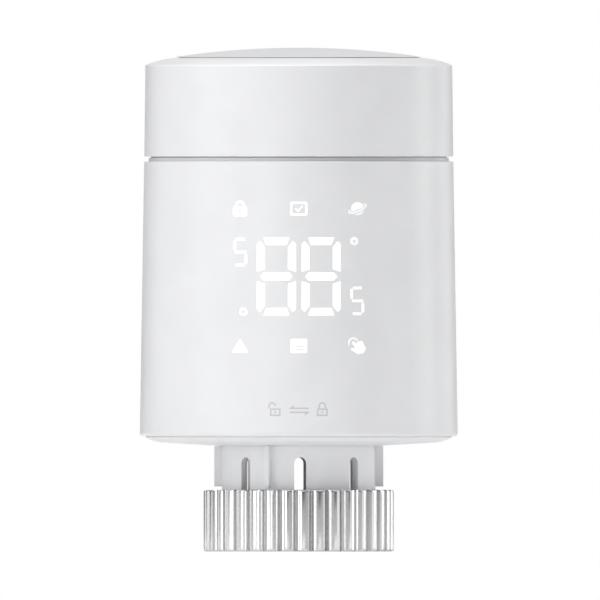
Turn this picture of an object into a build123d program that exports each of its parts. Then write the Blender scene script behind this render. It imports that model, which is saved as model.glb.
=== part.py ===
from build123d import *
import math
import os

# Motorised thermostatic radiator valve head, 57 mm across and 90 mm tall, in millimetres.
# It stands on a knurled union nut that screws to a radiator valve. Above the nut come a slotted collar,
# a twist-off base, a round housing with a lit display, and a dial that carries a push button.
# +Z runs up the valve's axis and the display faces -Y.
# The origin is the centre of the union nut's lower rim.

# ---------------------------------------------------------------- driving dimensions
# union nut, for an M30 x 1.5 valve
nut_height = 11.0
nut_crest_r = 17.0
nut_flutes = 36
flute_depth = 0.8
flute_share = 0.36
thread_bore_r = 14.2
thread_length = 7.2
nut_relief_r = 15.1
nut_lip_r = 14.0
nut_lip_height = 1.3

# slotted collar
collar_r = 13.7
collar_bore_r = 12.2
collar_bottom = 7.6
collar_lip_r = 14.7
rib_tip_r = 15.1
rib_bottom = 11.6
rib_width = 0.85
slot_width = 2.15
slot_top = 16.8
slot_turn = 1.1

# base
base_hole_r = 13.9
base_underside = 18.85
base_rim_r = 27.3
base_rim_z = 20.35
base_rim_top = 21.1
base_floor_top = 21.0
bayonet_inner_r = 24.9
bayonet_outer_r = 26.1
bayonet_top = 26.0
bayonet_slot_bottom = 22.7
bayonet_slot_top = 25.0
bayonets = 3
twist_deg = 25.0
lug_deg = 20.0
lug_entry_deg = 26.0
lug_bottom = 23.1
lug_top = 24.6
plate_r = 19.5
plate_thickness = 1.4
plate_hole_r = 5.4

# housing
housing_bottom = 20.6
housing_bottom_r = 28.4
housing_top = 69.65
housing_top_r = 27.6
wall = 2.0
rebate_r = 27.5
rebate_top = 21.4
groove_r = 26.8
groove_top = 70.28
seal_rib_r = 26.45
seal_rib_top = 70.95
neck_r = 25.05
neck_bore_r = 24.1
neck_top = 79.2

# dial and button
dial_bottom = 70.5
dial_bottom_r = 27.6
dial_top_r = 27.4
dial_edge_z = 86.85
dial_bore_r = 25.4
skirt_recess_r = 26.7
skirt_recess_top = 71.25
rim_inner_z = 88.14
rim_middle_z = 87.72
crown_z = 89.95
crown_sphere_r = 150.0
button_r = 21.9
button_well_r = 22.1
button_lip_height = 0.1
shadow_gap_r = 21.4
shadow_gap_bottom = 87.6
web_top = 85.4
web_bottom = 83.8
hub_r = 4.4
hub_bore_r = 3.0
hub_bottom = 75.6
hub_groove_r = 3.7
hub_nose_r = 4.1
hub_shoulder_r = 6.4

# gear train: a 12-tooth pinion drives every wheel
module = 0.4
pressure_angle = math.radians(20)
pinion_teeth = 12
wheel_teeth = 30
output_teeth = 38
addendum = 0.75
dedendum = 1.1
tooth_backlash = 0.03
running_gap = 0.05
axle_r = 0.75
gear_lane = 3.0
wheel_thickness = 2.0

# motor
motor_r = 6.0
motor_half_depth = 5.0
motor_boss_r = 2.0
motor_cap_height = 1.6
motor_terminal_x = 2.6

# plunger
plunger_tip = 23.9
plunger_pad_r = 4.5
plunger_pad_height = 1.6
spindle_r = 2.45
spindle_length = 19.6
spindle_flat_x = 1.7

# batteries, AA size
battery_r = 7.25
battery_length = 50.5
battery_x = 7.5
battery_y = 14.7
spring_height = 2.7
contact_thickness = 0.3
contact_tab_y = battery_y - 9.8

# display, laid out on the front of the housing
display_z = 49.1
icon_rows = (61.2, 36.7)
icon_x = 10.5
digit_x = 4.0
bar_rise = 6.25
bar_reach = 2.75
inlay_depth = 0.5
mark_depth = 0.12
lock_marks_z = 25.2

# stacking heights inside the housing
floor_bottom = 24.0
floor_top = 25.2
case_top = 36.4
cover_top = 37.6
motor_top = 53.6
terminal_top = 55.2
board_back_y = -19.4
board_front_y = -20.6
board_bottom = 33.6
board_top = 66.2
small_board_z = 71.6
small_board_top = 72.8
top_plate_bottom = neck_top
top_plate_top = 80.8
boss_bottom = 78.0
hub_boss_r = 7.0
holder_top = 75.0
switch_top = 75.3
switch_stem_top = 76.0
leg_radius = 17.0
leg_angles = (30, 150, 270)

# self-tapping screws
screw_r = 0.9
screw_hole_r = 0.95
screw_head_r = 1.8
screw_head_height = 1.2
clearance_hole_r = 1.1
boss_r = 2.1


# ---------------------------------------------------------------- helpers
def at(radius, degrees):
    """The point at a radius and an angle counter-clockwise from +X."""
    angle = math.radians(degrees)
    return radius * math.cos(angle), radius * math.sin(angle)


def disc(radius, bottom, top, centre=(0, 0)):
    """An upright cylinder between two heights."""
    x, y = centre
    return Pos(x, y, bottom) * extrude(Circle(radius), top - bottom)


def ring(outer, inner, bottom, top, centre=(0, 0)):
    """An upright tube between two heights."""
    x, y = centre
    return Pos(x, y, bottom) * extrude(Circle(outer) - Circle(inner), top - bottom)


def block(low, high):
    """A box between two opposite corners."""
    middle = [(a + b) / 2 for a, b in zip(low, high)]
    size = [b - a for a, b in zip(low, high)]
    return Pos(*middle) * Box(*size)


def turned(points, rounds=()):
    """A solid of revolution from (radius, height) points. rounds lists (point, fillet radius)."""
    face = make_face(Polyline(*points, close=True))
    for point, radius in rounds:
        corner = face.vertices().sort_by_distance(Vector(point[0], point[1], 0))[0]
        face = fillet(corner, radius)
    return revolve(Plane.XZ * face, Axis.Z, 360)


def sector(outer, inner, bottom, top, middle_deg, width_deg):
    """A piece of a tube that spans width_deg about middle_deg."""
    reach = outer * 1.5
    left = at(reach, -width_deg / 2)
    right = at(reach, width_deg / 2)
    wedge = make_face(Polyline((0, 0), left, (reach * 1.5, 0), right, close=True))
    plan = (Circle(outer) - Circle(inner)) & (Rot(0, 0, middle_deg) * wedge)
    return Pos(0, 0, bottom) * extrude(plan, top - bottom)


def group(solids):
    """Several separate solids kept in one node."""
    return Compound(children=list(solids))


def crown_height(radius):
    """Height of the button's domed top at a radius."""
    return crown_z - crown_sphere_r + math.sqrt(crown_sphere_r**2 - radius**2)


def screw(head_bottom, tip, centre, up=True):
    """A pan-head screw. Its head sits above head_bottom if up, and below it if not."""
    way = 1 if up else -1
    shank = disc(screw_r, min(head_bottom, tip), max(head_bottom, tip), centre)
    low = head_bottom if up else head_bottom - screw_head_height
    head = disc(screw_head_r, low, low + screw_head_height, centre)
    rim = head.edges().filter_by(GeomType.CIRCLE).sort_by(Axis.Z)[-1 if up else 0]
    head = fillet(rim, 0.5)
    top = head_bottom + way * screw_head_height
    recess_low, recess_high = sorted((top - way * 0.6, top + way * 0.1))
    x, y = centre
    for size in ((2.0, 0.4), (0.4, 2.0)):
        recess = Pos(x, y, recess_low) * extrude(Rectangle(*size), recess_high - recess_low)
        head -= recess
    return head + shank


def step(start, distance, degrees):
    """The point at a distance and a direction from another point."""
    x, y = at(distance, degrees)
    return start[0] + x, start[1] + y


def heading(start, end):
    """Direction from one centre to another, in degrees."""
    return math.degrees(math.atan2(end[1] - start[1], end[0] - start[0]))


# ---------------------------------------------------------------- places that follow from the dimensions
plate_top = base_floor_top + plate_thickness
base_screw_spots = [at(16.6, angle) for angle in (45, 135, 225, 315)]
floor_screw_spots = [at(22.1, angle) for angle in (90, 220, 320)]
top_screw_spots = [at(21.6, angle) for angle in (0, 180, 270)]
board_screw_spots = ((-6.3, 64.2), (6.3, 64.2))
small_board_posts = ((-10.5, -12.5), (10.5, -12.5))

# cells: one stands on its spring and the other hangs under it
link_top = floor_top + contact_thickness
left_cell_bottom = link_top + spring_height
right_cell_bottom = link_top
cells_top = left_cell_bottom + battery_length

# gear centres, from the output gear back to the motor
output_centre = (0.0, 0.0)
gear_2_centre = step(output_centre, module * (output_teeth + pinion_teeth) / 2, -30)
gear_1_centre = step(gear_2_centre, module * (wheel_teeth + pinion_teeth) / 2, -130)
motor_centre = step(gear_1_centre, module * (wheel_teeth + pinion_teeth) / 2, 175)
gearbox_floor = floor_top + 1.0
lane_1 = gearbox_floor + 0.4
lane_2 = lane_1 + gear_lane
lane_3 = lane_2 + gear_lane
case_circles = (
    (output_centre, 8.9),
    (gear_2_centre, 7.4),
    (gear_1_centre, 7.4),
    (motor_centre, 4.6),
)
ear_spots = (
    (-10.7, -5.0),
    step(gear_2_centre, 8.7, 35),
    step(gear_1_centre, 8.7, -15),
)
ear_r = 1.9


# ---------------------------------------------------------------- union nut
def union_nut():
    """Knurled nut: convex lobes between narrow round-bottomed flutes, outside a stepped bore."""
    pitch = 360 / nut_flutes
    shoulder_r = nut_crest_r - 0.22
    flute_r = nut_crest_r - flute_depth
    arcs = []
    for index in range(nut_flutes):
        start = index * pitch - 94.0
        lobe_start = start + pitch * flute_share
        arcs.append(
            ThreePointArc(
                at(shoulder_r, start),
                at(flute_r, start + pitch * flute_share / 2),
                at(shoulder_r, lobe_start),
            )
        )
        arcs.append(
            ThreePointArc(
                at(shoulder_r, lobe_start),
                at(nut_crest_r, (lobe_start + start + pitch) / 2),
                at(shoulder_r, start + pitch),
            )
        )
    knurl = extrude(make_face(Curve() + arcs), nut_height)
    chamfered = turned(
        [
            (0, 0),
            (nut_crest_r - 0.45, 0),
            (nut_crest_r, 0.45),
            (nut_crest_r, nut_height - 0.45),
            (nut_crest_r - 0.45, nut_height),
            (0, nut_height),
        ]
    )
    lip_bottom = nut_height - nut_lip_height
    bore = turned(
        [
            (0, -1),
            (thread_bore_r + 1.8, -1),
            (thread_bore_r, 0.8),
            (thread_bore_r, thread_length),
            (nut_relief_r, thread_length + 0.5),
            (nut_relief_r, lip_bottom),
            (nut_lip_r, lip_bottom),
            (nut_lip_r, nut_height + 1),
            (0, nut_height + 1),
        ]
    )
    return (knurl & chamfered) - bore


# ---------------------------------------------------------------- base, fixed to the radiator valve
def valve_collar():
    """Split sleeve that plugs into the nut, with snap lip, stop ribs and a screwed flange."""
    sleeve = turned(
        [
            (collar_bore_r, collar_bottom),
            (collar_r, collar_bottom),
            (collar_r, collar_bottom + 0.3),
            (collar_lip_r, collar_bottom + 0.9),
            (collar_lip_r, collar_bottom + 1.8),
            (collar_r, collar_bottom + 1.9),
            (collar_r, base_floor_top),
            (plate_r, base_floor_top),
            (plate_r, plate_top),
            (plate_hole_r, plate_top),
            (plate_hole_r, base_floor_top - 0.1),
            (collar_bore_r, base_floor_top - 0.1),
        ]
    )
    for turn in (0, 45, -45):
        angle = slot_turn + turn
        length = 2 * collar_lip_r + 2
        shaft_height = slot_top - slot_width / 2 - collar_bottom + 1
        slot = Pos(0, 0, collar_bottom - 1 + shaft_height / 2) * Box(slot_width, length, shaft_height)
        crown = Pos(0, 0, slot_top - slot_width / 2) * Rot(90, 0, 0) * Cylinder(slot_width / 2, length)
        sleeve -= Rot(0, 0, angle) * (slot + crown)
    for angle in (-90, 90, -22.5, 157.5):
        low = (-rib_width / 2, -rib_tip_r, rib_bottom)
        high = (rib_width / 2, -collar_r + 0.3, base_underside)
        rib = block(low, high)
        sleeve += Rot(0, 0, angle) * rib
    for x, y in base_screw_spots:
        sleeve -= disc(clearance_hole_r, base_floor_top - 1, plate_top + 1, (x, y))
    return sleeve


def base_cover():
    """Shallow domed cover whose rim rises inside the housing, with a bayonet ring cut by L-shaped slots."""
    shoulder = (26.2, 19.85)
    flat_end = (23.6, 19.42)
    outline = [
        Line((base_hole_r, base_underside), flat_end),
        ThreePointArc(flat_end, shoulder, (base_rim_r, base_rim_z)),
        Polyline(
            (base_rim_r, base_rim_z),
            (base_rim_r, base_rim_top),
            (bayonet_outer_r, base_rim_top),
            (bayonet_outer_r, bayonet_top),
            (bayonet_inner_r, bayonet_top),
            (bayonet_inner_r, base_floor_top),
            (base_hole_r, base_floor_top),
            (base_hole_r, base_underside),
        ),
    ]
    cover = revolve(Plane.XZ * make_face(Curve() + outline), Axis.Z, 360)
    for index in range(bayonets):
        locked = index * 360 / bayonets + 90
        entry = locked - twist_deg
        span = (bayonet_outer_r + 0.9, bayonet_inner_r - 0.9, bayonet_slot_bottom)
        cover -= sector(*span, bayonet_slot_top, (locked + entry) / 2, twist_deg + lug_entry_deg)
        cover -= sector(*span, bayonet_top + 1, entry, lug_entry_deg)
    for x, y in base_screw_spots:
        cover -= disc(screw_hole_r, 19.9, base_floor_top + 1, (x, y))
    return cover


def base_screws():
    """Four screws that hold the collar's flange to the cover."""
    return group(screw(plate_top, 20.0, spot) for spot in base_screw_spots)


# ---------------------------------------------------------------- lit display shapes
def polygon(points, soften=0.12):
    """A flat outline with slightly rounded corners."""
    face = make_face(Polyline(*points, close=True))
    return fillet(face.vertices(), soften)


def mirrored(points, flip_x, flip_y):
    return [(x * flip_x, y * flip_y) for x, y in points]


def large_digit(centre_x):
    """The seven bars of a 7 by 14 mm digit."""
    level = [(-2.35, 7.0), (2.35, 7.0), (1.85, 5.6), (-1.85, 5.6)]
    upright = [(-3.5, 5.8), (-2.95, 6.35), (-2.05, 5.25), (-2.05, 1.3), (-3.5, 0.82)]
    middle = [(-2.9, 0), (-2.25, 0.75), (2.25, 0.75), (2.9, 0), (2.25, -0.75), (-2.25, -0.75)]
    bars = [level, mirrored(level, 1, -1), middle]
    bars += [mirrored(upright, side, end) for side in (1, -1) for end in (1, -1)]
    return [Pos(centre_x, display_z) * polygon(bar) for bar in bars]


def small_five(centre_x, centre_z):
    """The five lit bars of a 2.5 by 5.1 mm figure five."""
    bars = [
        (0.02, 2.3, 1.6, 0.5),
        (-1.0, 1.25, 0.5, 1.75),
        (0.05, 0.0, 2.0, 0.48),
        (1.0, -1.2, 0.5, 1.75),
        (-0.02, -2.3, 1.6, 0.5),
    ]
    return [Pos(centre_x + x, centre_z + z) * RectangleRounded(w, h, 0.12) for x, z, w, h in bars]


def degree_ring(centre_x, centre_z):
    return Pos(centre_x, centre_z) * (Circle(0.72) - Circle(0.32))


def padlock_icon():
    """Closed padlock: solid case with a keyhole, under a shackle."""
    case = Pos(0, -0.45) * RectangleRounded(2.5, 1.8, 0.25)
    keyhole = Pos(0, -0.35) * Circle(0.28) + Pos(0, -0.7) * Rectangle(0.26, 0.6)
    shackle = (Pos(0, 0.55) * (Circle(0.9) - Circle(0.5))) & (Pos(0, 1.0) * Rectangle(2, 1.1))
    return [case - keyhole + shackle]


def window_icon():
    """Window frame with a tick inside."""
    frame = RectangleRounded(3.1, 2.5, 0.4) - RectangleRounded(2.3, 1.7, 0.15)
    tick = Line((-0.6, 0.05), (-0.15, -0.45)) + Line((-0.15, -0.45), (0.65, 0.5))
    return [frame, trace(tick, 0.28)]


def planet_icon():
    """Globe inside a tilted ring that passes in front of it below and behind it above."""
    tilt = Rot(0, 0, 24)
    upper = tilt * (Pos(0, 2) * Rectangle(6, 4))
    lower = tilt * (Pos(0, -2) * Rectangle(6, 4))
    passing = (tilt * (Ellipse(1.95, 0.84) - Ellipse(1.3, 0.14))) & lower
    hoop = tilt * (Ellipse(1.75, 0.64) - Ellipse(1.48, 0.34))
    return [Circle(1.15) - passing, hoop - (Circle(1.34) & upper)]


def triangle_icon():
    """Solid triangle with a short bar cut out of it."""
    body = polygon([(-1.55, -1.25), (1.55, -1.25), (0, 1.35)], 0.2)
    return [body - (Pos(0, -0.2) * Rectangle(0.3, 1.0))]


def schedule_icon():
    """Solid page with two short lines cut out of its lower half."""
    page = RectangleRounded(3.0, 2.55, 0.25)
    for z in (-0.1, -0.67):
        page -= Pos(0.2, z) * Rectangle(1.45, 0.22)
    return [page]


def hand_icon():
    """Hand with one finger pointing up and to the left, and an arc round the fingertip."""
    palm = [(0.85, 0.85), (1.2, 0.05), (1.5, -0.4), (1.05, -1.25), (0.1, -1.5), (-1.1, -0.75)]
    thumb_gap = [(-1.15, -0.4), (-0.35, -0.35)]
    finger = [(-1.05, 0.5), (-0.75, 0.85), (-0.2, 0.4), (0.1, 0.8)]
    fingertip = Pos(-0.75, 0.55)
    arc = fingertip * (Circle(0.95) - Circle(0.7))
    shown = fingertip * make_face(Polyline((0, 0), (2, 1.2), (0, 3), (-3, 3), (-3, -1.6), close=True))
    return [polygon(palm + thumb_gap + finger, 0.08), arc & shown]


def status_icon_faces():
    drawn = {
        (-icon_x, icon_rows[0]): padlock_icon(),
        (0, icon_rows[0]): window_icon(),
        (icon_x, icon_rows[0]): planet_icon(),
        (-icon_x, icon_rows[1]): triangle_icon(),
        (0, icon_rows[1]): schedule_icon(),
        (icon_x, icon_rows[1]): hand_icon(),
    }
    return [Pos(x, z) * face for (x, z), faces in drawn.items() for face in faces]


def half_degree_faces():
    """Two figure fives and two degree rings, placed so that the display reads the same upside down."""
    five_x, five_dz = 10.45, 4.35
    ring_x, ring_dz = 9.9, 6.3
    faces = small_five(five_x, display_z - five_dz) + small_five(-five_x, display_z + five_dz)
    return faces + [degree_ring(ring_x, display_z + ring_dz), degree_ring(-ring_x, display_z - ring_dz)]


def lock_mark_faces():
    """Open padlock, two opposed arrows, closed padlock."""
    line = 0.26
    faces = []
    for centre_x, lift in ((-4.2, -0.55), (4.2, 0)):
        case = Rectangle(1.9, 1.35) - Rectangle(1.9 - 2 * line, 1.35 - 2 * line)
        slot = Rectangle(line, 0.35)
        arch = (Circle(0.68) - Circle(0.68 - line)) & (Pos(0, 1) * Rectangle(2, 2))
        leg = Pos(-0.55, -0.2) * Rectangle(line, 0.5)
        shackle = Pos(lift, 0.78) * (arch + leg)
        if not lift:
            shackle += Pos(lift, 0.78) * Pos(0.55, -0.2) * Rectangle(line, 0.5)
        faces.append(Pos(centre_x, lock_marks_z) * (Pos(0, -0.35) * case + shackle))
        faces.append(Pos(centre_x, lock_marks_z - 0.35) * slot)
    for side in (1, -1):
        shaft = Rectangle(3.4, line)
        barb = make_face(Polyline((-1.85, -line / 2), (-1.0, -line / 2), (-1.0, 0.62), close=True))
        half_turn = Rot(0, 0, 90 - 90 * side)
        faces.append(Pos(0.1, lock_marks_z) * half_turn * Pos(0, 0.36) * (shaft + barb))
    return faces


def inlays(faces, depth):
    """Curved tiles cut from the housing's outer skin, one for each flat outline seen from the front."""
    skin = turned(
        [
            (housing_bottom_r, housing_bottom),
            (housing_top_r, housing_top),
            (housing_top_r - depth, housing_top),
            (housing_bottom_r - depth, housing_bottom),
        ]
    )
    skin &= block((-14, -30, housing_bottom), (14, -20, housing_top))
    tiles = []
    for face in faces:
        prism = extrude(Plane.XZ * face, 30)
        tiles += (skin & prism).solids()
    return group(tiles)


# ---------------------------------------------------------------- housing
def housing(skin_tiles):
    """Tapered sleeve with a necked top, bayonet lugs and screw bosses, pocketed for the display."""
    inner_top = housing_top_r - wall
    lower_boss_top = 32.0
    upper_boss_bottom = 72.0
    shell = turned(
        [
            (housing_bottom_r - wall, rebate_top),
            (rebate_r, rebate_top),
            (rebate_r, housing_bottom),
            (housing_bottom_r, housing_bottom),
            (housing_top_r, housing_top),
            (groove_r, housing_top),
            (groove_r, groove_top),
            (seal_rib_r, groove_top),
            (seal_rib_r, seal_rib_top),
            (neck_r, seal_rib_top),
            (neck_r, neck_top),
            (neck_bore_r, neck_top),
            (neck_bore_r, housing_top - 1.8),
            (inner_top, housing_top - 3.4),
        ],
        rounds=[
            ((housing_bottom_r, housing_bottom), 0.55),
            ((housing_top_r, housing_top), 0.2),
        ],
    )
    for index in range(bayonets):
        middle = index * 360 / bayonets + 90
        shell += sector(bayonet_outer_r + 0.5, bayonet_inner_r - 0.25, lug_bottom, lug_top, middle, lug_deg)
    for x, y in floor_screw_spots:
        angle = math.degrees(math.atan2(y, x))
        boss = disc(boss_r, floor_top, lower_boss_top, (x, y))
        web = Rot(0, 0, angle) * block((22.1, -0.8, bayonet_top + 0.4), (27.0, 0.8, lower_boss_top))
        shell += boss + web
        shell -= disc(screw_hole_r, floor_top - 1, lower_boss_top - 1, (x, y))
    for x, y in top_screw_spots:
        angle = math.degrees(math.atan2(y, x))
        boss = disc(boss_r, upper_boss_bottom, neck_top, (x, y))
        web = Rot(0, 0, angle) * block((21.6, -1.2, upper_boss_bottom), (24.6, 1.2, neck_top))
        shell += boss + web
        shell -= disc(screw_hole_r, upper_boss_bottom + 1, neck_top + 1, (x, y))
    for tiles in skin_tiles:
        shell -= tiles.solids()
    return shell


def floor_plate():
    """Round floor of the turning body, open for the plunger and for both batteries."""
    plate = disc(24.4, floor_bottom, floor_top)
    plate -= disc(plunger_pad_r + 0.3, floor_bottom - 1, floor_top + 1)
    plate -= battery_bay(0.25, floor_bottom - 1, floor_top + 1)
    for spot in floor_screw_spots:
        plate -= disc(clearance_hole_r, floor_bottom - 1, floor_top + 1, spot)
    return plate


def floor_screws():
    """Three screws that hold the floor to the housing, with their heads below it."""
    solids = []
    for spot in floor_screw_spots:
        solids.append(screw(floor_bottom, 30.0, spot, up=False))
    return group(solids)


# ---------------------------------------------------------------- batteries
def battery_bay(gap, bottom, top):
    """Space that holds both cells side by side."""
    cells = [Pos(side * battery_x, battery_y) * Circle(battery_r + gap) for side in (1, -1)]
    between = Pos(0, battery_y) * Rectangle(2 * battery_x, 2 * (battery_r + gap) - 5)
    return Pos(0, 0, bottom) * extrude(cells[0] + cells[1] + between, top - bottom)


def battery(bottom, centre_x, flipped):
    """AA cell with a raised button at its positive end."""
    cell = turned(
        [
            (0, 0),
            (battery_r, 0),
            (battery_r, battery_length - 1.2),
            (2.6, battery_length - 1.2),
            (2.6, battery_length),
            (0, battery_length),
        ],
        rounds=[((battery_r, 0), 0.6), ((battery_r, battery_length - 1.2), 0.6)],
    )
    if flipped:
        cell = Pos(0, 0, battery_length) * Rot(180, 0, 0) * cell
    return Pos(centre_x, battery_y, bottom) * cell


def contact_spring(bottom, centre_x):
    """Conical coil that presses on a cell's negative end."""
    wire_r = 0.3
    path = Helix(pitch=(spring_height - 2 * wire_r) / 2.5, height=spring_height - 2 * wire_r, radius=3.4)
    start = path @ 0
    section = Plane(origin=start, z_dir=path % 0) * Circle(wire_r)
    coil = sweep(section, path=path, is_frenet=True)
    return Pos(centre_x, battery_y, bottom + wire_r) * coil


def battery_springs():
    return group(
        [
            contact_spring(link_top, -battery_x),
            contact_spring(right_cell_bottom + battery_length, battery_x),
        ]
    )


def battery_link_plate():
    """Sheet-metal link between the two lower ends."""
    plan = [Pos(side * battery_x, battery_y) * Circle(5.2) for side in (1, -1)]
    strap = Pos(0, battery_y) * Rectangle(2 * battery_x, 4)
    return Pos(0, 0, floor_top) * extrude(plan[0] + plan[1] + strap, contact_thickness)


def battery_top_contacts():
    """A contact for each upper end, with a solder tail."""
    solids = []
    for side in (1, -1):
        pad = Pos(side * battery_x, battery_y) * Circle(4.4)
        tail = Pos(side * battery_x, battery_y - 6.8) * Rectangle(2.0, 6.0)
        sheet = Pos(0, 0, cells_top) * extrude(pad + tail, contact_thickness)
        tab = block(
            (side * battery_x - 1.0, contact_tab_y, cells_top - 2.0),
            (side * battery_x + 1.0, contact_tab_y + contact_thickness, cells_top),
        )
        solids.append(sheet + tab)
    return group(solids)


def battery_hatch():
    """Plug that closes the battery opening from below and carries the link plate."""
    hatch = battery_bay(0.05, floor_bottom, floor_top - 0.02)
    grip = block((-4, battery_y - 0.6, floor_bottom - 1), (4, battery_y + 0.6, floor_bottom + 0.5))
    return hatch - grip


def battery_holder():
    """Cradle that the two cells lie in, open to the rear. It stands on the gearbox cover."""
    bottom, top = cover_top, holder_top
    blank = disc(neck_bore_r - 0.2, bottom, top)
    blank &= block((-16.4, battery_y - battery_r - 1.25, bottom), (16.4, battery_y + 3.0, top))
    blank -= battery_bay(0.2, bottom - 1, top + 1)
    for height in (bottom + 12, bottom + 26):
        blank -= block((-17, 12, height), (17, 24, height + 8))
    return blank


# ---------------------------------------------------------------- gear train
def spur(teeth, bottom, top, tooth_towards):
    """Stub-tooth involute wheel with a tooth centred on one direction, in degrees."""
    pitch_r = module * teeth / 2
    base_r = pitch_r * math.cos(pressure_angle)
    tip_r = pitch_r + addendum * module
    root_r = pitch_r - dedendum * module
    start_r = max(base_r, root_r)
    half_tooth = math.pi / 2 / teeth - tooth_backlash / pitch_r
    rolled = math.tan(pressure_angle) - pressure_angle

    def half_angle(radius):
        angle = math.acos(min(1.0, base_r / radius))
        return math.degrees(half_tooth + rolled - (math.tan(angle) - angle))

    middle_r = (start_r + tip_r) / 2
    edges = []
    for index in range(teeth):
        middle = tooth_towards + index * 360 / teeth
        following = middle + 360 / teeth
        for side in (-1, 1):
            flank = [at(r, middle + side * half_angle(r)) for r in (start_r, middle_r, tip_r)]
            edges.append(ThreePointArc(*flank))
            if start_r > root_r:
                edges.append(Line(at(root_r, middle + side * half_angle(start_r)), flank[0]))
        tips = [at(tip_r, middle + side * half_angle(tip_r)) for side in (-1, 1)]
        edges.append(ThreePointArc(tips[0], at(tip_r, middle), tips[1]))
        valley = [
            at(root_r, middle + half_angle(start_r)),
            at(root_r, middle + 180 / teeth),
            at(root_r, following - half_angle(start_r)),
        ]
        edges.append(ThreePointArc(*valley))
    return Pos(0, 0, bottom) * extrude(make_face(Curve() + edges), top - bottom)


def placed(solid, centre):
    return Pos(centre[0], centre[1], 0) * solid


def facing_gap(teeth, towards):
    """Tooth direction that puts a gap between teeth on the line towards a mating wheel."""
    return towards + 180 / teeth


def output_gear():
    """Last wheel, whose threaded hub drives the spindle up and down."""
    wheel = spur(output_teeth, lane_1, lane_1 + 2.6, heading(output_centre, gear_2_centre))
    hub = disc(3.3, lane_1, case_top - 0.45)
    collar = disc(5.6, gearbox_floor + 0.1, lane_1 + 0.1)
    bore = disc(spindle_r + running_gap, 0, 60)
    return wheel + hub + collar - bore


def reduction_gear(centre, driven, driver, wheel_bottom, pinion_bottom, pinion_top):
    """Moulded wheel and pinion in one: the pinion drives one neighbour and the wheel is driven by the other."""
    pinion_tooth = facing_gap(pinion_teeth, heading(centre, driven))
    wheel_tooth = heading(centre, driver)
    pinion = spur(pinion_teeth, pinion_bottom, pinion_top, pinion_tooth)
    wheel = spur(wheel_teeth, wheel_bottom, wheel_bottom + wheel_thickness, wheel_tooth)
    low = min(pinion_bottom, wheel_bottom)
    bore = disc(axle_r + running_gap, low - 1, case_top + 1)
    return placed(pinion + wheel - bore, centre)


def reduction_gear_2():
    return reduction_gear(
        gear_2_centre, output_centre, gear_1_centre, lane_2, lane_1 - 0.1, lane_2 + 0.1
    )


def reduction_gear_1():
    return reduction_gear(
        gear_1_centre, gear_2_centre, motor_centre, lane_3, lane_2 - 0.1, lane_3 + 0.1
    )


def motor_pinion():
    tooth = facing_gap(pinion_teeth, heading(motor_centre, gear_1_centre))
    pinion = spur(pinion_teeth, lane_3 - 0.2, case_top - 1.0, tooth)
    return placed(pinion - disc(axle_r, 0, 60), motor_centre)


def motor_shaft():
    return disc(axle_r, lane_3 - 0.2, 44.0, motor_centre)


def gear_axle(centre):
    """Steel pin set in the case and the cover."""
    return disc(axle_r, floor_top + 0.4, case_top + 0.8, centre)


def case_plan(inset):
    """Hull round the four gear centres, drawn in by an inset."""
    outline = Sketch()
    for (x, y), radius in case_circles:
        outline += Pos(x, y) * Circle(radius - inset)
    return make_hull(outline.edges())


def gearbox_case():
    """Open-topped case with screw ears. It stands on the floor plate and guides the plunger."""
    ears = Sketch() + [Pos(x, y) * Circle(ear_r) for x, y in ear_spots]
    case = Pos(0, 0, floor_top) * extrude(case_plan(0) + ears, case_top - floor_top)
    case -= Pos(0, 0, gearbox_floor) * extrude(case_plan(0.8), case_top)
    case -= disc(plunger_pad_r + 0.2, floor_top - 1, gearbox_floor + 1)
    for centre in (gear_1_centre, gear_2_centre):
        case += disc(1.6, floor_top, lane_1 - 0.2, centre)
        case -= disc(axle_r, floor_top + 0.4, case_top, centre)
    for spot in ear_spots:
        case -= disc(screw_hole_r, floor_top + 1, case_top + 1, spot)
    return case


def gearbox_cover():
    """Lid with a D-shaped hole that stops the spindle turning."""
    ears = Sketch() + [Pos(x, y) * Circle(ear_r) for x, y in ear_spots]
    lid = Pos(0, 0, case_top) * extrude(case_plan(0) + ears, cover_top - case_top)
    lid -= spindle_hole(0.08)
    for centre in (gear_1_centre, gear_2_centre):
        lid -= disc(axle_r, case_top - 1, case_top + 0.8, centre)
    lid -= disc(motor_boss_r + 0.1, case_top - 1, cover_top + 1, motor_centre)
    for spot in ear_spots:
        lid -= disc(clearance_hole_r, case_top - 1, cover_top + 1, spot)
    return lid


def gearbox_screws():
    return group(screw(cover_top, floor_top + 3, spot) for spot in ear_spots)


def spindle_hole(gap):
    """D-shaped prism: a round bar with one side cut flat."""
    bar = disc(spindle_r + gap, 0, 60)
    return bar - block((spindle_flat_x + gap, -5, -1), (6, 5, 61))


def plunger():
    """Pusher pad on a spindle whose upper half has a flat."""
    pad_top = plunger_tip + plunger_pad_height
    spindle_top = plunger_tip + spindle_length
    pad = turned(
        [(0, plunger_tip), (plunger_pad_r, plunger_tip), (plunger_pad_r, pad_top), (0, pad_top)],
        rounds=[((plunger_pad_r, plunger_tip), 0.4)],
    )
    round_part = disc(spindle_r, plunger_tip + 1.0, spindle_top)
    flat_cut = block((spindle_flat_x, -5, gearbox_floor + 4), (6, 5, spindle_top + 1))
    return pad + (round_part - flat_cut)


def thrust_washer():
    return ring(4.3, spindle_r + 0.25, case_top - 0.4, case_top)


def motor():
    """Small can motor with two flats and a front boss that locates it in the cover."""
    can_top = motor_top - motor_cap_height
    flats = block((-motor_r, -motor_half_depth, cover_top), (motor_r, motor_half_depth, can_top))
    can = disc(motor_r, cover_top, can_top) & flats
    boss = disc(motor_boss_r, case_top, cover_top)
    return placed(can + boss - disc(axle_r + running_gap, 0, 45), motor_centre)


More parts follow.
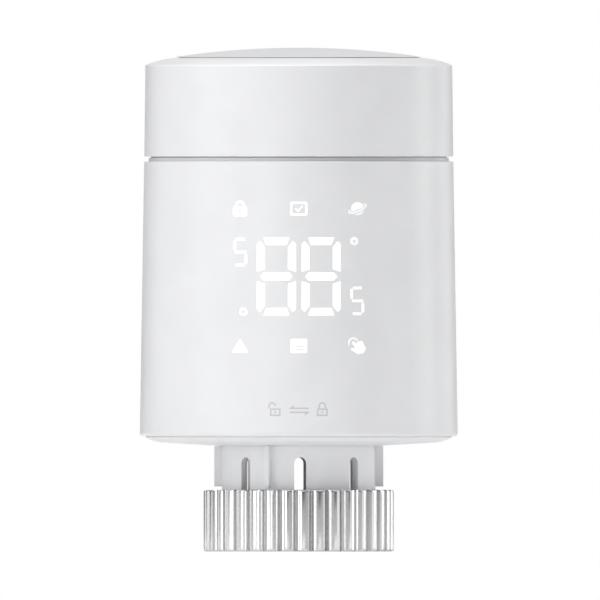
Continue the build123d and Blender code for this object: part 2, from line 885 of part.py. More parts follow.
def motor_end_cap():
    """Plastic cap with two solder terminals."""
    half_depth = motor_half_depth - 0.4
    sides = block((-motor_r, -half_depth, 0), (motor_r, half_depth, 60))
    cap = disc(motor_r - 0.4, motor_top - motor_cap_height, motor_top) & sides
    for side in (1, -1):
        x = side * motor_terminal_x
        cap += block((x - 0.7, -0.15, motor_top), (x + 0.7, 0.15, terminal_top))
    return placed(cap, motor_centre)


# ---------------------------------------------------------------- electronics
def light_well(x, z, half_width, half_height):
    """Square shaft from the board to the front wall, one for each lit area."""
    return block((x - half_width, -30, z - half_height), (x + half_width, -20, z + half_height))


def display_reflector():
    """Opaque block behind the front wall, with a light well for each lit area."""
    bottom, top = board_bottom + 0.6, board_top - 0.2
    body = disc(25.45, bottom, top) & block((-13.4, -26, bottom), (13.4, board_front_y, top))
    wells = []
    for side in (1, -1):
        x, z = side * digit_x, display_z
        for end in (1, -1):
            wells.append(light_well(x, z + end * bar_rise, 1.9, 0.85))
            wells.append(light_well(x + bar_reach, z + end * 3.05, 0.85, 1.95))
            wells.append(light_well(x - bar_reach, z + end * 3.05, 0.85, 1.95))
        wells.append(light_well(x, z, 1.7, 0.8))
        wells.append(light_well(side * 10.4, z, 1.6, 7.2))
    wells += [light_well(x, z, 1.8, 1.7) for x in (-icon_x, 0, icon_x) for z in icon_rows]
    for well in wells:
        body -= well
    for x, z in board_screw_spots:
        body -= Pos(x, board_front_y, z) * Rot(90, 0, 0) * Cylinder(screw_hole_r, 4)
    return body


def main_board():
    board = block((-14.2, board_front_y, board_bottom), (14.2, board_back_y, board_top))
    for x, z in board_screw_spots:
        board -= Pos(x, board_front_y, z) * Rot(90, 0, 0) * Cylinder(clearance_hole_r, 6)
    return board


def display_leds():
    """One chip behind each bar, ring and icon."""
    spots = []
    for side in (1, -1):
        x = side * digit_x
        spots += [(x, display_z + dz) for dz in (bar_rise, 0, -bar_rise)]
        spots += [(x + dx, display_z + dz) for dx in (bar_reach, -bar_reach) for dz in (3.3, -3.3)]
        spots += [(side * 10.45, display_z + dz) for dz in (5.5, 2.0, -2.0, -5.5)]
    spots += [(x, z) for x in (-icon_x, 0, icon_x) for z in icon_rows]
    chip = block((-0.5, board_front_y - 0.45, -0.3), (0.5, board_front_y, 0.3))
    return group(Pos(x, 0, z) * chip for x, z in spots)


def board_screws():
    solids = []
    for x, z in board_screw_spots:
        solids.append(Pos(x, board_back_y, z) * Rot(-90, 0, 0) * screw(0, -2.8, (0, 0)))
    return group(solids)


def radio_module():
    """Daughter board under a shield can."""
    card = block((2.0, board_back_y, 48.0), (13.0, board_back_y + 0.8, 62.0))
    can = block((3.0, board_back_y + 0.8, 49.0), (12.0, board_back_y + 2.6, 58.0))
    return card + fillet(can.edges().filter_by(Axis.Y), 0.6)


def microcontroller():
    return block((-12.5, board_back_y, 50.0), (-7.5, board_back_y + 1.0, 55.0))


def wire(points, bends, radius):
    """Round wire along straight runs joined by tangent arcs."""
    path = FilletPolyline(*points, radius=bends)
    section = Plane(origin=path @ 0, z_dir=path % 0) * Circle(radius)
    return sweep(section, path=path)


def motor_leads():
    x, y = motor_centre
    solids = []
    for side in (1, -1):
        start = (x + side * motor_terminal_x, y, terminal_top)
        solids.append(
            wire([start, (start[0], y, 59.4), (start[0], board_back_y, 59.4)], 2.4, 0.5)
        )
    return group(solids)


def battery_leads():
    """Short wires from the upper contacts to the small board."""
    wire_r = 0.5
    spots = [(side * battery_x, contact_tab_y - wire_r) for side in (1, -1)]
    return group(disc(wire_r, small_board_top, cells_top - 0.4, spot) for spot in spots)


def ribbon_cable():
    """Flat flexible cable from the main board up to the small board."""
    thickness, width = 0.25, 8.0
    y, z = board_back_y, board_top
    under = small_board_z - thickness
    outline = Polyline(
        (y, z - 3.4),
        (y + thickness, z - 3.4),
        (y + thickness, z + 0.6),
        (y + 3.0, under),
        (y + 8.0, under),
        (y + 8.0, small_board_z),
        (y + 2.85, small_board_z),
        (y, z + 0.7),
        close=True,
    )
    return Pos(-width / 2, 0, 0) * extrude(Plane.YZ * make_face(outline), width)


def small_board():
    """Board that carries the push switch and the rotation sensor."""
    board = block((-13.0, -16.0, small_board_z), (13.0, 6.0, small_board_top))
    for x, y in small_board_posts:
        board -= disc(clearance_hole_r, small_board_z - 1, small_board_top + 1, (x, y))
    return board


def small_board_screws():
    solids = [screw(small_board_z, 76.0, spot, up=False) for spot in small_board_posts]
    return group(solids)


def push_switch():
    """Square tactile switch with a well for its moving stem."""
    body = block((-3, -3, small_board_top), (3, 3, switch_top))
    body = chamfer(body.edges().filter_by(Axis.Z), 0.3)
    return body - disc(1.6, 73.4, switch_top + 1)


def hall_sensor():
    return block((3.9, -1.5, small_board_top), (6.3, 1.5, small_board_top + 1.1))


def temperature_sensor():
    """Bead thermistor on two legs, low on the main board."""
    x, z, half_wire = -12.4, 38.4, 0.12
    bead = Pos(x, board_back_y + 2.4, z) * Sphere(0.9)
    for leg_x in (x - 0.4, x + 0.4):
        low = (leg_x - half_wire, board_back_y, z - half_wire)
        high = (leg_x + half_wire, board_back_y + 2.2, z + half_wire)
        bead += block(low, high)
    return bead


# ---------------------------------------------------------------- dial and button
def top_plate():
    """Fixed deck that bears the dial's hub and closes the housing's neck."""
    plate = disc(neck_r, top_plate_bottom, top_plate_top)
    plate += disc(hub_boss_r, boss_bottom, top_plate_bottom + 0.1)
    plate -= disc(hub_r + 0.08, 70, 90)
    for x, y in small_board_posts:
        plate += disc(1.8, small_board_top, top_plate_bottom + 0.1, (x, y))
        plate -= disc(screw_hole_r, small_board_top - 1, 77.5, (x, y))
    for spot in top_screw_spots:
        plate -= disc(clearance_hole_r, top_plate_bottom - 1, top_plate_top + 1, spot)
    return plate


def top_plate_screws():
    return group(screw(top_plate_top, 74.0, spot) for spot in top_screw_spots)


def leg_block(low_r, high_r, half_width, bottom, top, angle):
    return Rot(0, 0, angle) * block((low_r, -half_width, bottom), (high_r, half_width, top))


def dial():
    """Turning cap: tapered skirt, domed rim, and a web with a hollow hub below the button's well."""
    rim_under_r = 23.0
    rim_under_z = 85.3
    outer_edge = (dial_top_r, dial_edge_z)
    inner_edge = (button_well_r, rim_inner_z)
    rim_middle = ((dial_top_r + button_well_r) / 2, rim_middle_z)
    outline = [
        Line((dial_bottom_r, dial_bottom), outer_edge),
        ThreePointArc(outer_edge, rim_middle, inner_edge),
        Polyline(
            inner_edge,
            (button_well_r, web_top),
            (hub_bore_r, web_top),
            (hub_bore_r, hub_bottom),
            (hub_nose_r, hub_bottom),
            (hub_nose_r, boss_bottom - 0.7),
            (hub_groove_r, boss_bottom - 0.7),
            (hub_groove_r, boss_bottom - 0.05),
            (hub_r, boss_bottom - 0.05),
            (hub_r, top_plate_top + 0.1),
            (hub_shoulder_r, top_plate_top + 0.1),
            (hub_shoulder_r, web_bottom),
            (rim_under_r, web_bottom),
            (rim_under_r, rim_under_z + 0.4),
            (dial_bore_r, rim_under_z),
            (dial_bore_r, skirt_recess_top),
            (skirt_recess_r, skirt_recess_top),
            (skirt_recess_r, dial_bottom),
            (dial_bottom_r, dial_bottom),
        ),
    ]
    face = make_face(Curve() + outline)
    rounds = ((outer_edge, 0.35), ((dial_bottom_r, dial_bottom), 0.2), (inner_edge, 0.1))
    for point, radius in rounds:
        corner = face.vertices().sort_by_distance(Vector(*point, 0))[0]
        face = fillet(corner, radius)
    body = revolve(Plane.XZ * face, Axis.Z, 360)
    for angle in leg_angles:
        body -= leg_block(leg_radius - 1.1, leg_radius + 0.75, 2.4, web_bottom - 1, web_top + 1, angle)
    return body


def dial_clip():
    """Snap ring in the hub's groove, below the fixed deck."""
    clip = ring(5.6, hub_groove_r, boss_bottom - 0.65, boss_bottom - 0.1)
    return clip - block((-1.2, 0, 77), (1.2, 7, 78.5))


def encoder_magnet():
    """Multi-pole ring on the end of the hub, read by the sensor below."""
    return ring(6.4, hub_nose_r, hub_bottom, 77.0)


def top_button():
    """Domed disc with a shadow gap under its lip, a stem and three hooked legs."""
    thickness = 1.6
    under_r = crown_sphere_r - thickness
    rim_z = crown_height(button_r)
    lip_bottom = rim_z - button_lip_height
    centre_z = crown_z - crown_sphere_r
    rim_bottom = 86.3
    inner_r = 20.7
    under_rim = centre_z + math.sqrt(under_r**2 - inner_r**2)
    half = button_r / 2
    outline = [
        ThreePointArc((0, crown_z), (half, crown_height(half)), (button_r, rim_z)),
        Polyline(
            (button_r, rim_z),
            (button_r, lip_bottom),
            (shadow_gap_r, lip_bottom),
            (shadow_gap_r, shadow_gap_bottom),
            (button_r, shadow_gap_bottom),
            (button_r, rim_bottom),
            (inner_r, rim_bottom),
            (inner_r, under_rim),
        ),
        ThreePointArc(
            (inner_r, under_rim),
            (inner_r / 2, centre_z + math.sqrt(under_r**2 - (inner_r / 2) ** 2)),
            (0, crown_z - thickness),
        ),
        Line((0, crown_z - thickness), (0, crown_z)),
    ]
    face = make_face(Curve() + outline)
    corner = face.vertices().sort_by_distance(Vector(button_r, rim_z, 0))[0]
    face = fillet(corner, 0.06)
    disc_body = revolve(Plane.XZ * face, Axis.Z, 360)
    stem = disc(hub_bore_r - 0.08, switch_stem_top, crown_z - 1.0)
    button = disc_body + stem
    leg_bottom, leg_top = web_bottom - 1.2, crown_z - 2.35
    for angle in leg_angles:
        leg = leg_block(leg_radius - 0.7, leg_radius + 0.5, 2.0, leg_bottom, leg_top, angle)
        hook = leg_block(leg_radius + 0.4, leg_radius + 1.4, 2.0, leg_bottom, web_bottom - 0.05, angle)
        button += leg + hook
    return button


def switch_stem():
    """Moving stem of the push switch."""
    return disc(1.5, 74.4, switch_stem_top)


def button_spring():
    """Return coil round the stem, between the web and the button."""
    wire_r = 0.25
    height = crown_z - 1.6 - web_top - 0.15
    path = Helix(pitch=(height - 2 * wire_r) / 3, height=height - 2 * wire_r, radius=4.6)
    section = Plane(origin=path @ 0, z_dir=path % 0) * Circle(wire_r)
    return Pos(0, 0, web_top + wire_r + 0.02) * sweep(section, path=path, is_frenet=True)


# ---------------------------------------------------------------- build and write
digit_tiles = inlays(large_digit(-digit_x) + large_digit(digit_x), inlay_depth)
half_degree_tiles = inlays(half_degree_faces(), inlay_depth)
icon_tiles = inlays(status_icon_faces(), inlay_depth)
lock_tiles = inlays(lock_mark_faces(), mark_depth)

nodes = {
    "union_nut": union_nut(),
    "valve_collar": valve_collar(),
    "base_cover": base_cover(),
    "base_screws": base_screws(),
    "housing": housing([digit_tiles, half_degree_tiles, icon_tiles, lock_tiles]),
    "digit_segments": digit_tiles,
    "half_degree_segments": half_degree_tiles,
    "status_icons": icon_tiles,
    "lock_marks": lock_tiles,
    "floor_plate": floor_plate(),
    "floor_screws": floor_screws(),
    "battery_hatch": battery_hatch(),
    "battery_left": battery(left_cell_bottom, -battery_x, False),
    "battery_right": battery(right_cell_bottom, battery_x, True),
    "battery_springs": battery_springs(),
    "battery_link_plate": battery_link_plate(),
    "battery_top_contacts": battery_top_contacts(),
    "battery_leads": battery_leads(),
    "battery_holder": battery_holder(),
    "gearbox_case": gearbox_case(),
    "gearbox_cover": gearbox_cover(),
    "gearbox_screws": gearbox_screws(),
    "gear_axle_1": gear_axle(gear_1_centre),
    "gear_axle_2": gear_axle(gear_2_centre),
    "thrust_washer": thrust_washer(),
    "motor": motor(),
    "motor_end_cap": motor_end_cap(),
    "motor_leads": motor_leads(),
    "motor_shaft": motor_shaft(),
    "motor_pinion": motor_pinion(),
    "reduction_gear_1": reduction_gear_1(),
    "reduction_gear_2": reduction_gear_2(),
    "output_gear": output_gear(),
    "plunger": plunger(),
    "display_reflector": display_reflector(),
    "display_leds": display_leds(),
    "main_board": main_board(),
    "board_screws": board_screws(),
    "radio_module": radio_module(),
    "microcontroller": microcontroller(),
    "temperature_sensor": temperature_sensor(),
    "ribbon_cable": ribbon_cable(),
    "small_board": small_board(),
    "small_board_screws": small_board_screws(),
    "push_switch": push_switch(),
    "hall_sensor": hall_sensor(),
    "top_plate": top_plate(),
    "top_plate_screws": top_plate_screws(),
    "dial": dial(),
    "dial_clip": dial_clip(),
    "encoder_magnet": encoder_magnet(),
    "top_button": top_button(),
    "switch_stem": switch_stem(),
    "button_spring": button_spring(),
}

os.makedirs("parts", exist_ok=True)
for name, shape in nodes.items():
    export_step(shape, f"parts/{name}.step")
    print(f"{name:24s} {len(shape.solids()):3d} solids {shape.volume:10.1f} mm3")
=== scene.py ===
import math

import bpy
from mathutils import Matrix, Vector

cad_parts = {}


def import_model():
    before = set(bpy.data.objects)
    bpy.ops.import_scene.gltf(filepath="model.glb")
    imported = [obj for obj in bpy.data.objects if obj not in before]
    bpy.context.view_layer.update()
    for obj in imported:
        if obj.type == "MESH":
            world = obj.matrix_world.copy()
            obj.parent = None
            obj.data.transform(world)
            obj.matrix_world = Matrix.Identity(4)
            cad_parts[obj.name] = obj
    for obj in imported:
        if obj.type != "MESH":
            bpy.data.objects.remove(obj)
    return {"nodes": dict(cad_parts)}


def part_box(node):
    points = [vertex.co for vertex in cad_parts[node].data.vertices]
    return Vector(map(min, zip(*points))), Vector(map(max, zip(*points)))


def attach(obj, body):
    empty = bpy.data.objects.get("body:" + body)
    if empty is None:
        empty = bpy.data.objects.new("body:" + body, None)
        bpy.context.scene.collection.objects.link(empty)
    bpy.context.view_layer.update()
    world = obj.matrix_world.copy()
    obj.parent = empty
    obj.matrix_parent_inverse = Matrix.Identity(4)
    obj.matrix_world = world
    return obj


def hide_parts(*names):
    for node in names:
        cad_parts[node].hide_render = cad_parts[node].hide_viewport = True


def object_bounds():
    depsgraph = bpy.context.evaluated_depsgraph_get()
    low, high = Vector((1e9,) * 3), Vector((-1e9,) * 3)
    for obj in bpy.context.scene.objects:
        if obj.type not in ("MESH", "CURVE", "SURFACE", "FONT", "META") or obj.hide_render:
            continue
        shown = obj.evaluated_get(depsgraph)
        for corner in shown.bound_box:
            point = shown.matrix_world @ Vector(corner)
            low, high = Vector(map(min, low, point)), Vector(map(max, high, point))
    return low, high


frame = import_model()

# Looks for a motorised radiator valve head. Everything is in metres, in the CAD frame:
# +Z up the valve's axis, the display facing -Y, the origin at the centre of the nut's lower rim.

MM = 0.001
cad_low, cad_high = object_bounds()
nodes = frame["nodes"]

# sizes of the union nut
NUT_FLUTES = 36
NUT_STEPS = 15                 # columns in each flute and lobe
NUT_START = math.radians(-94)  # a flute starts here
FLUTE_SHARE = 0.36
NUT_CREST = 17.0 * MM
NUT_SHOULDER = 16.78 * MM
NUT_FLUTE = 16.2 * MM
NUT_CHAMFER = 0.45 * MM
THREAD_MINOR = 14.2 * MM
THREAD_MAJOR = 15.02 * MM
THREAD_PITCH = 1.5 * MM
THREAD_FROM, THREAD_TO = 0.8 * MM, 7.2 * MM
RELIEF_R = 15.1 * MM
LIP_R = 14.0 * MM
LIP_HEIGHT = 1.3 * MM
LIP_EDGE = 0.2 * MM
RELIEF_SLOPE = 0.5 * MM
EDGE_STEPS = 4                 # rings in each rolled edge
BODY_ROWS = 3
THREAD_ROWS = 64


# ---------------------------------------------------------------- node helpers
class Shader:
    """A material's node tree, with short calls for the nodes that the finishes share."""

    def __init__(self, name):
        self.material = bpy.data.materials.new(name)
        self.material.use_nodes = True
        self.tree = self.material.node_tree
        self.bsdf = self.tree.nodes["Principled BSDF"]
        self.coords = self.tree.nodes.new("ShaderNodeTexCoord")
        self.place = self.coords.outputs["Object"]

    def node(self, kind, **settings):
        made = self.tree.nodes.new(kind)
        for key, value in settings.items():
            setattr(made, key, value)
        return made

    def link(self, output, target):
        self.tree.links.new(output, target)

    def stretched(self, scale):
        """Object coordinates scaled by a different amount along each axis."""
        mapping = self.node("ShaderNodeMapping")
        mapping.inputs["Scale"].default_value = scale
        self.link(self.place, mapping.inputs["Vector"])
        return mapping.outputs["Vector"]

    def noise(self, size, detail=2.0, place=None):
        """Noise with features of about the given size, in metres."""
        made = self.node("ShaderNodeTexNoise")
        made.inputs["Scale"].default_value = 1 / size
        made.inputs["Detail"].default_value = detail
        self.link(place or self.place, made.inputs["Vector"])
        return made.outputs["Fac"]

    def ramp(self, fac, low, high, start=0.3, end=0.7):
        """Maps the middle of a 0 to 1 pattern onto low to high."""
        made = self.node("ShaderNodeMapRange")
        made.inputs["From Min"].default_value = start
        made.inputs["From Max"].default_value = end
        made.inputs["To Min"].default_value = low
        made.inputs["To Max"].default_value = high
        self.link(fac, made.inputs["Value"])
        return made.outputs["Result"]

    def largest(self, value_a, value_b):
        made = self.node("ShaderNodeMath", operation="MAXIMUM")
        self.link(value_a, made.inputs[0])
        self.link(value_b, made.inputs[1])
        return made.outputs[0]

    def blend(self, fac, colour_a, colour_b):
        """Mixes two colours. Each is a tuple or another node's colour."""
        made = self.node("ShaderNodeMix", data_type="RGBA")
        self.link(fac, made.inputs["Factor"])
        for index, colour in ((6, colour_a), (7, colour_b)):
            if isinstance(colour, tuple):
                made.inputs[index].default_value = (*colour, 1)
            else:
                self.link(colour, made.inputs[index])
        return made.outputs[2]

    def bump(self, height, depth, strength=1.0, below=None):
        """Adds bumps of a depth in metres, on top of the bumps below."""
        made = self.node("ShaderNodeBump")
        made.inputs["Strength"].default_value = strength
        made.inputs["Distance"].default_value = depth
        self.link(height, made.inputs["Height"])
        if below:
            self.link(below, made.inputs["Normal"])
        return made.outputs["Normal"]

    def finish(self, colour, roughness, normal=None, **flat):
        """Connects the patterns, and sets the values that don't vary on the shader's own sockets."""
        self.link(colour, self.bsdf.inputs["Base Color"])
        self.link(roughness, self.bsdf.inputs["Roughness"])
        if normal:
            self.link(normal, self.bsdf.inputs["Normal"])
        for key, value in flat.items():
            self.bsdf.inputs[key.replace("_", " ")].default_value = value
        return self.material


def shade(colour, factor):
    return tuple(min(1.0, channel * factor) for channel in colour)


# ---------------------------------------------------------------- finishes
def moulded(name, colour, gloss, grain=0.16 * MM, depth=0.004 * MM, mottle=0.02, **flat):
    """Injection-moulded plastic: spark-eroded grain, faint flow mottling, uneven gloss."""
    s = Shader(name)
    cloudy = s.noise(9 * MM, 3)
    tint = s.blend(s.ramp(cloudy, 0, 1), shade(colour, 1 - mottle), shade(colour, 1 + mottle))
    sheen = s.ramp(s.noise(2.5 * MM, 4), gloss - 0.03, gloss + 0.03)
    waviness = s.bump(s.noise(6 * MM, 1), 0.01 * MM, 0.25)
    return s.finish(tint, sheen, s.bump(s.noise(grain, 2), depth, 0.5, waviness), **flat)


def plated(name, colour, gloss, streak=(1, 1, 0.08), **flat):
    """Bright plate over metal: fine scratches along the streak, slight clouding, gentle waviness."""
    s = Shader(name)
    cloudy = s.noise(2.2 * MM, 3)
    tint = s.blend(s.ramp(cloudy, 0, 1), shade(colour, 0.93), shade(colour, 1.04))
    scratch = s.noise(0.07 * MM, 3, s.stretched(streak))
    sheen = s.ramp(s.noise(0.5 * MM, 4), gloss - 0.05, gloss + 0.07)
    ripple = s.bump(s.noise(1.4 * MM, 2), 0.012 * MM, 0.35)
    return s.finish(tint, sheen, s.bump(scratch, 0.003 * MM, 0.5, ripple), Metallic=1.0, **flat)


def knurled_plate(name, colour, gloss):
    """Bright plate in even bands along the nut's axis, with painted shade at the bottom of the flutes."""
    s = Shader(name)
    along = s.stretched((1, 1, 0.04))
    across = s.node("ShaderNodeVectorMath", operation="MULTIPLY")
    across.inputs[1].default_value = (1, 1, 0)
    s.link(s.place, across.inputs[0])
    length = s.node("ShaderNodeVectorMath", operation="LENGTH")
    s.link(across.outputs["Vector"], length.inputs[0])
    radius = length.outputs["Value"]
    split = s.node("ShaderNodeSeparateXYZ")
    s.link(s.coords.outputs["Normal"], split.inputs[0])
    upright = s.node("ShaderNodeMath", operation="ABSOLUTE")
    s.link(split.outputs["Z"], upright.inputs[0])
    # Painted shade: the bottoms of the flutes are darkened to 0.72 of the plate colour, kept off the bore and
    # the end faces.
    crest = s.ramp(radius, 0, 1, NUT_FLUTE + 0.1 * MM, NUT_SHOULDER)
    inside = s.ramp(radius, 1, 0, RELIEF_R + 0.2 * MM, RELIEF_R + 0.3 * MM)
    end_face = s.ramp(upright.outputs[0], 0, 1, 0.4, 0.6)
    free_of_painted_shade = s.largest(crest, s.largest(inside, end_face))
    bright = s.blend(s.ramp(s.noise(1.5 * MM, 2, along), 0, 1), shade(colour, 0.96), shade(colour, 1.03))
    sheen = s.ramp(s.noise(1.2 * MM, 2, along), gloss - 0.02, gloss + 0.02)
    lines = s.bump(s.noise(0.1 * MM, 2, along), 0.002 * MM, 0.15)
    return s.finish(s.blend(free_of_painted_shade, shade(colour, 0.72), bright), sheen, lines, Metallic=1.0)


def brushed(name, colour, gloss, streak=(0.04, 1, 1)):
    """Drawn or rolled metal: streaks in colour, roughness and height."""
    s = Shader(name)
    lines = s.noise(0.12 * MM, 4, s.stretched(streak))
    tint = s.blend(s.ramp(lines, 0, 1), shade(colour, 0.85), shade(colour, 1.08))
    sheen = s.ramp(lines, gloss - 0.06, gloss + 0.08)
    return s.finish(tint, sheen, s.bump(lines, 0.004 * MM, 0.6), Metallic=1.0)


def lit_diffuser(name, colour, glow):
    """Milky lens over an LED: evenly lit, faintly cloudy, with fine frosting."""
    s = Shader(name)
    frost = s.noise(0.12 * MM, 3)
    tint = s.blend(s.ramp(s.noise(1.5 * MM), 0, 1), shade(colour, 0.985), colour)
    s.link(tint, s.bsdf.inputs["Emission Color"])
    return s.finish(tint, s.ramp(frost, 0.28, 0.36), s.bump(frost, 0.002 * MM, 0.4), Emission_Strength=glow)


def ink(name, colour, under):
    """Pad-printed ink: pinholes show the plastic under it."""
    s = Shader(name)
    pinholes = s.ramp(s.noise(0.05 * MM, 2), 1, 0, 0.34, 0.42)
    return s.finish(
        s.blend(pinholes, colour, under),
        s.ramp(s.noise(0.3 * MM), 0.5, 0.62),
        s.bump(s.noise(0.1 * MM), 0.002 * MM, 0.4),
    )


def solder_mask(name, colour, copper):
    """Circuit board: tracks show through the mask as slightly lighter, slightly raised bands."""
    s = Shader(name)
    cells = s.node("ShaderNodeTexVoronoi", distance="CHEBYCHEV", feature="F1")
    cells.inputs["Scale"].default_value = 1 / (1.3 * MM)
    s.link(s.place, cells.inputs["Vector"])
    tracks = s.ramp(cells.outputs["Distance"], 1, 0, 0.28, 0.34)
    return s.finish(
        s.blend(tracks, colour, copper),
        s.ramp(s.noise(0.6 * MM, 3), 0.26, 0.36),
        s.bump(tracks, 0.02 * MM, 0.5, s.bump(s.noise(0.2 * MM), 0.003 * MM, 0.4)),
    )


def battery_jacket(name, body, band, foot):
    """Printed steel jacket with a plain light band near its positive end."""
    s = Shader(name)
    split = s.node("ShaderNodeSeparateXYZ")
    s.link(s.place, split.inputs[0])
    low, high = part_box("battery_left")
    band_from = low.z + 0.72 * (high.z - low.z)
    band_mask = s.ramp(split.outputs["Z"], 0, 1, band_from, band_from + 0.1 * MM)
    tint = s.blend(band_mask, body, band)
    metal = s.ramp(split.outputs["Z"], 1, 0, low.z + 0.7 * MM, low.z + 0.8 * MM)
    return s.finish(
        s.blend(metal, tint, foot),
        s.ramp(s.noise(0.4 * MM, 3), 0.2, 0.3),
        s.bump(s.noise(0.25 * MM, 2), 0.004 * MM, 0.4),
        Metallic=0.55,
    )


WHITE = (0.80, 0.803, 0.812)

finishes = {
    "white_shell": moulded("white_shell", WHITE, 0.36),
    "white_button": moulded("white_button", (0.745, 0.748, 0.758), 0.34),
    "collar_white": moulded("collar_white", (0.84, 0.842, 0.85), 0.42, depth=0.006 * MM),
    "nickel_plate": knurled_plate("nickel_plate", (0.91, 0.91, 0.915), 0.18),
    "lit_white": lit_diffuser("lit_white", (1.0, 1.0, 1.0), 0.2),
    "printed_grey": ink("printed_grey", (0.56, 0.56, 0.58), (0.74, 0.74, 0.75)),
    "zinc_steel": plated("zinc_steel", (0.62, 0.64, 0.66), 0.28),
    "spring_steel": plated("spring_steel", (0.70, 0.70, 0.69), 0.24, (1, 1, 1)),
    "black_plastic": moulded("black_plastic", (0.028, 0.028, 0.031), 0.42, mottle=0.12),
    "battery_jacket": battery_jacket(
        "battery_jacket", (0.03, 0.04, 0.055), (0.42, 0.43, 0.45), (0.6, 0.6, 0.6)
    ),
    "acetal": moulded("acetal", (0.79, 0.77, 0.71), 0.30, grain=0.3 * MM, Subsurface_Weight=0.06),
    "brass": plated("brass", (0.76, 0.56, 0.25), 0.22, (0.1, 1, 1)),
    "motor_steel": brushed("motor_steel", (0.55, 0.56, 0.57), 0.30, (1, 1, 0.05)),
    "reflector_white": moulded("reflector_white", (0.86, 0.86, 0.86), 0.55),
    "led_package": moulded("led_package", (0.86, 0.78, 0.42), 0.22, Coat_Weight=0.5),
    "circuit_board": solder_mask("circuit_board", (0.012, 0.085, 0.04), (0.05, 0.16, 0.07)),
    "chip_black": moulded("chip_black", (0.018, 0.018, 0.02), 0.5, mottle=0.15),
    "shield_can": brushed("shield_can", (0.66, 0.66, 0.64), 0.28),
    "cable_jacket": moulded("cable_jacket", (0.42, 0.02, 0.02), 0.38, mottle=0.08),
    "flex_cable": moulded("flex_cable", (0.45, 0.20, 0.03), 0.26, mottle=0.1),
    "ferrite": moulded("ferrite", (0.04, 0.04, 0.045), 0.55, depth=0.01 * MM, mottle=0.2),
}

for node in nodes.values():
    for slot in node.material_slots:
        slot.material = finishes[slot.material.name.split(".")[0]]


# ---------------------------------------------------------------- mesh helpers
def grid_solid(name, loops):
    """A closed ring of quads from loops of points: each loop joins the next, and the last joins the first."""
    columns = len(loops[0])
    points = [point for loop in loops for point in loop]
    faces = []
    for row in range(len(loops)):
        this = row * columns
        following = (row + 1) % len(loops) * columns
        for column in range(columns):
            after = (column + 1) % columns
            faces.append((this + column, this + after, following + after, following + column))
    mesh = bpy.data.meshes.new(name)
    mesh.from_pydata(points, [], faces)
    mesh.validate()
    mesh.shade_smooth()
    mesh.set_sharp_from_angle(angle=math.radians(38))
    made = bpy.data.objects.new(name, mesh)
    bpy.context.scene.collection.objects.link(made)
    return made


def smoothstep(low, high, value):
    share = min(1.0, max(0.0, (value - low) / (high - low)))
    return share * share * (3 - 2 * share)


# ---------------------------------------------------------------- union nut
def knurl_r(angle):
    """Outside radius: a narrow scooped flute, then a wide convex lobe."""
    share = ((angle - NUT_START) / (2 * math.pi) * NUT_FLUTES) % 1
    if share < FLUTE_SHARE:
        dip = math.sin(math.pi * share / FLUTE_SHARE)
        return NUT_SHOULDER - (NUT_SHOULDER - NUT_FLUTE) * dip
    rise = math.sin(math.pi * (share - FLUTE_SHARE) / (1 - FLUTE_SHARE))
    return NUT_SHOULDER + (NUT_CREST - NUT_SHOULDER) * rise


def thread_r(angle, height):
    """Inside radius of the right-hand M30 x 1.5 thread, which fades out at both ends."""
    share = (height / THREAD_PITCH - angle / (2 * math.pi)) % 1
    groove = min(1.0, max(0.0, (abs(share - 0.5) - 0.07) / 0.31))
    shown = smoothstep(THREAD_FROM, THREAD_FROM + 0.5 * MM, height)
    shown *= 1 - smoothstep(THREAD_TO - 0.5 * MM, THREAD_TO, height)
    return THREAD_MINOR + (THREAD_MAJOR - THREAD_MINOR) * groove * shown


def ring_of_points(radius_at, height, columns):
    angles = [NUT_START + 2 * math.pi * column / columns for column in range(columns)]
    return [(radius_at(a) * math.cos(a), radius_at(a) * math.sin(a), height) for a in angles]


def union_nut():
    """Knurled nut with rolled edges and a real thread."""
    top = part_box("union_nut")[1].z
    columns = NUT_FLUTES * NUT_STEPS
    loops = []
    heights = [NUT_CHAMFER * step / EDGE_STEPS for step in range(EDGE_STEPS)]
    heights += [NUT_CHAMFER + (top - 2 * NUT_CHAMFER) * row / BODY_ROWS for row in range(BODY_ROWS + 1)]
    heights += [top - NUT_CHAMFER * step / EDGE_STEPS for step in reversed(range(EDGE_STEPS))]
    for height in heights:
        from_end = min(height, top - height)
        share = min(1.0, from_end / NUT_CHAMFER)
        limit = NUT_CREST - NUT_CHAMFER * (1 - math.sqrt(share * (2 - share)))
        loops.append(ring_of_points(lambda a: min(knurl_r(a), limit), height, columns))
    for radius, height in (
        (LIP_R + LIP_EDGE, top),
        (LIP_R, top - LIP_EDGE),
        (LIP_R, top - LIP_HEIGHT),
        (RELIEF_R, top - LIP_HEIGHT),
        (RELIEF_R, THREAD_TO + RELIEF_SLOPE),
    ):
        loops.append(ring_of_points(lambda a: radius, height, columns))
    for row in reversed(range(THREAD_ROWS + 1)):
        height = THREAD_FROM + (THREAD_TO - THREAD_FROM) * row / THREAD_ROWS
        loops.append(ring_of_points(lambda a: thread_r(a, height), height, columns))
    loops.append(ring_of_points(lambda a: THREAD_MINOR + THREAD_FROM, 0, columns))
    return grid_solid("knurled_union_nut", loops)


nut = union_nut()
nut.data.materials.append(finishes["nickel_plate"])
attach(nut, "union_nut")
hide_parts("union_nut")


# ---------------------------------------------------------------- floor, light and camera
FLOOR_HALF = 0.52   # ends in front of the lamps, so that none of them leaves an edge of light on it


def floor():
    mesh = bpy.data.meshes.new("floor")
    signs = ((-1, -1), (1, -1), (1, 1), (-1, 1))
    corners = [(x * FLOOR_HALF, y * FLOOR_HALF, 0) for x, y in signs]
    mesh.from_pydata(corners, [], [(0, 1, 2, 3)])
    made = bpy.data.objects.new("floor", mesh)
    bpy.context.scene.collection.objects.link(made)
    s = Shader("floor_paper")
    tint = s.blend(s.noise(0.4, 3), (0.87, 0.87, 0.87), (0.9, 0.9, 0.9))
    mesh.materials.append(s.finish(tint, s.ramp(s.noise(0.05), 0.75, 0.9), Emission_Strength=FLOOR_GLOW))


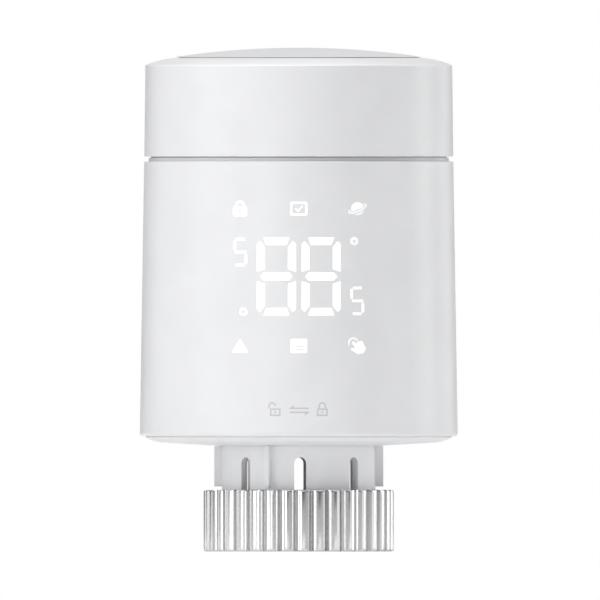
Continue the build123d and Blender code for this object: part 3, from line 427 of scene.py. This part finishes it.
MIDDLE = Vector((0, 0, (cad_low.z + cad_high.z) / 2))


def softbox(name, azimuth, elevation, width, height, power, distance=0.6):
    """A rectangular light facing the object. Azimuth 0 is in front of the display and grows to the right."""
    lamp = bpy.data.lights.new(name, "AREA")
    lamp.shape = "RECTANGLE"
    lamp.size, lamp.size_y = width, height
    lamp.energy = power
    made = bpy.data.objects.new(name, lamp)
    bpy.context.scene.collection.objects.link(made)
    turn, rise = math.radians(azimuth), math.radians(elevation)
    away = Vector((math.sin(turn) * math.cos(rise), -math.cos(turn) * math.cos(rise), math.sin(rise)))
    made.location = MIDDLE + away * distance
    made.rotation_euler = away.to_track_quat("Z", "Y").to_euler()
    return made


# Each lamp: name, azimuth, elevation, width, height, watts. The key is narrow, so that the light falls away
# just right of the middle. The side lamps wrap light round the body and put bright lines in the metal. The
# back lamp is short, so that the button's dome mirrors it and the dial's steeper rim doesn't.
FLOOR_GLOW = 0.12
AMBIENT = 0.08
CAMERA_DISTANCE = 0.9
LAMPS = (
    ("key", -24, 6, 0.16, 0.8, 0.9),
    ("left", -64, 6, 0.34, 0.8, 1.43),
    ("left_back", -115, 6, 0.30, 0.8, 0.5),
    ("right", 76, 6, 0.24, 0.8, 0.42),
    ("right_rim", 106, 6, 0.18, 0.8, 1.4),
    ("right_back", 138, 6, 0.20, 0.8, 0.7),
    ("back", 180, 3, 0.30, 0.34, 0.15),
    ("high", -20, 50, 0.50, 0.3, 0.77),
    ("top", 0, 80, 0.50, 0.5, 2.9),
)


def world():
    """White to the camera, and a softer grey to everything that the object reflects."""
    made = bpy.data.worlds.new("studio")
    bpy.context.scene.world = made
    made.use_nodes = True
    tree = made.node_tree
    tree.nodes.clear()
    output = tree.nodes.new("ShaderNodeOutputWorld")
    mix = tree.nodes.new("ShaderNodeMixShader")
    path = tree.nodes.new("ShaderNodeLightPath")
    ambient, backdrop = (tree.nodes.new("ShaderNodeBackground") for _ in range(2))
    ambient.inputs["Color"].default_value = (0.97, 0.98, 1.0, 1)
    ambient.inputs["Strength"].default_value = AMBIENT
    backdrop.inputs["Color"].default_value = (1, 1, 1, 1)
    tree.links.new(path.outputs["Is Camera Ray"], mix.inputs["Fac"])
    tree.links.new(ambient.outputs[0], mix.inputs[1])
    tree.links.new(backdrop.outputs[0], mix.inputs[2])
    tree.links.new(mix.outputs[0], output.inputs["Surface"])


FRAME_WIDTH = 107.14 * MM   # what the picture's width takes in
AIM = Vector((0.22 * MM, 0, 44.9 * MM))


def camera():
    """Level with the middle of the object, straight in front of the display, with no perspective."""
    lens = bpy.data.cameras.new("camera")
    lens.type = "ORTHO"
    lens.ortho_scale = FRAME_WIDTH
    lens.clip_start, lens.clip_end = 0.01, 20
    made = bpy.data.objects.new("camera", lens)
    bpy.context.scene.collection.objects.link(made)
    made.location = AIM + Vector((0, -CAMERA_DISTANCE, 0))
    made.rotation_euler = (math.pi / 2, 0, 0)
    bpy.context.scene.camera = made


floor()
for lamp in LAMPS:
    softbox(*lamp)
world()
camera()
bpy.context.scene.view_settings.view_transform = "Standard"
